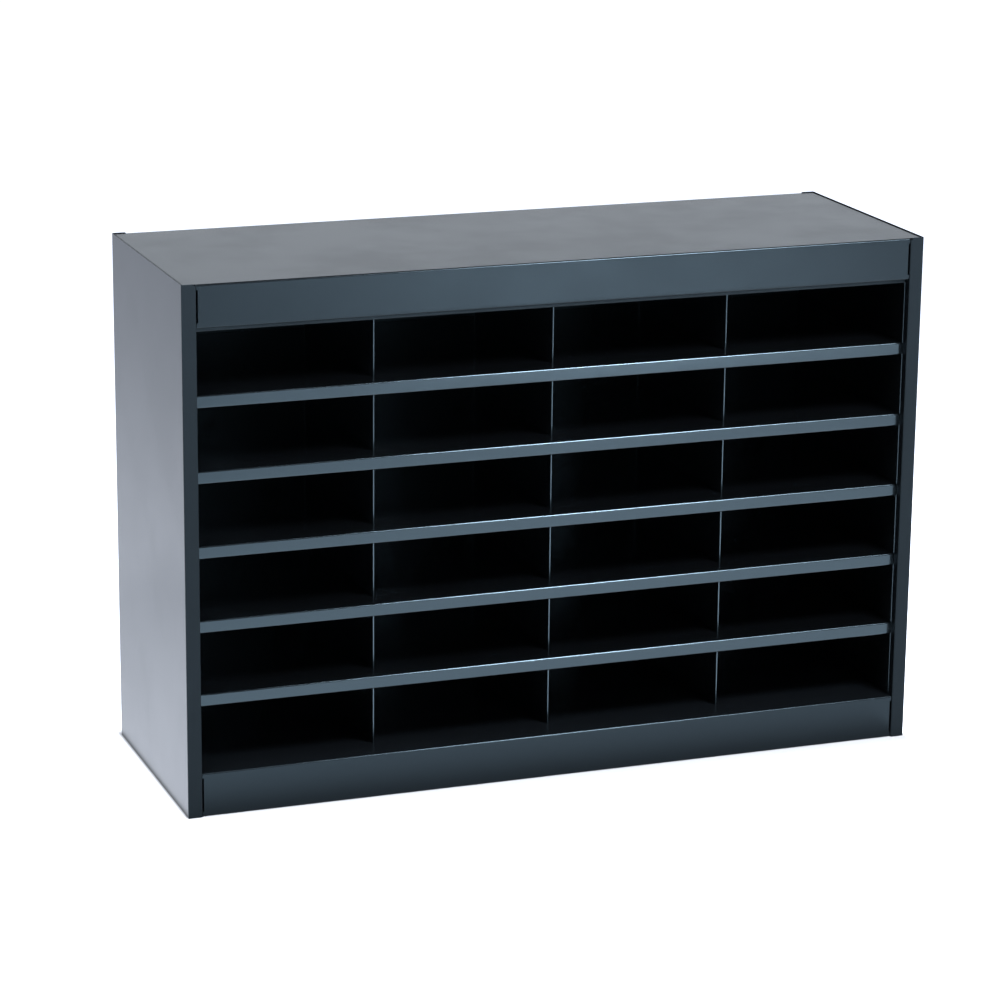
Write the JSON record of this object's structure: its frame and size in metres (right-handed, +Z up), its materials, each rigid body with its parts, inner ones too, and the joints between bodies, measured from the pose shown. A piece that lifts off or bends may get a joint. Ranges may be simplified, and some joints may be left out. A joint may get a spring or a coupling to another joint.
{
  "type": "pigeonhole mail sorter",
  "caption": "Low wide steel mail sorter with rows of open letter-size pigeonholes, lipped shelves, tabbed dividers, a deep header and a kick plate.",
  "frame": {"origin": "on the floor, under the centre of the case", "axes": "+X to the right seen from the open front, +Y to the back, +Z up"},
  "size_m": [0.9524, 0.3238, 0.654],
  "materials": {
    "case_enamel": "semi-gloss black baked enamel",
    "lining_enamel": "semi-gloss black baked enamel",
    "shelf_enamel": "semi-gloss black baked enamel",
    "divider_enamel": "semi-gloss black baked enamel"
  },
  "bodies": {
    "root": {"left_side_panel": "case_enamel", "right_side_panel": "case_enamel", "top_panel": "case_enamel", "bottom_panel": "case_enamel", "left_inner_wall": "lining_enamel", "right_inner_wall": "lining_enamel", "back_panel": "lining_enamel", "shelf_1": "shelf_enamel", "shelf_2": "shelf_enamel", "shelf_3": "shelf_enamel", "shelf_4": "shelf_enamel", "shelf_5": "shelf_enamel", "ceiling_shelf": "shelf_enamel", "divider_row1_1": "divider_enamel", "divider_row1_2": "divider_enamel", "divider_row1_3": "divider_enamel", "divider_row2_1": "divider_enamel", "divider_row2_2": "divider_enamel", "divider_row2_3": "divider_enamel", "divider_row3_1": "divider_enamel", "divider_row3_2": "divider_enamel", "divider_row3_3": "divider_enamel", "divider_row4_1": "divider_enamel", "divider_row4_2": "divider_enamel", "divider_row4_3": "divider_enamel", "divider_row5_1": "divider_enamel", "divider_row5_2": "divider_enamel", "divider_row5_3": "divider_enamel", "divider_row6_1": "divider_enamel", "divider_row6_2": "divider_enamel", "divider_row6_3": "divider_enamel"}
  },
  "joints": []
}
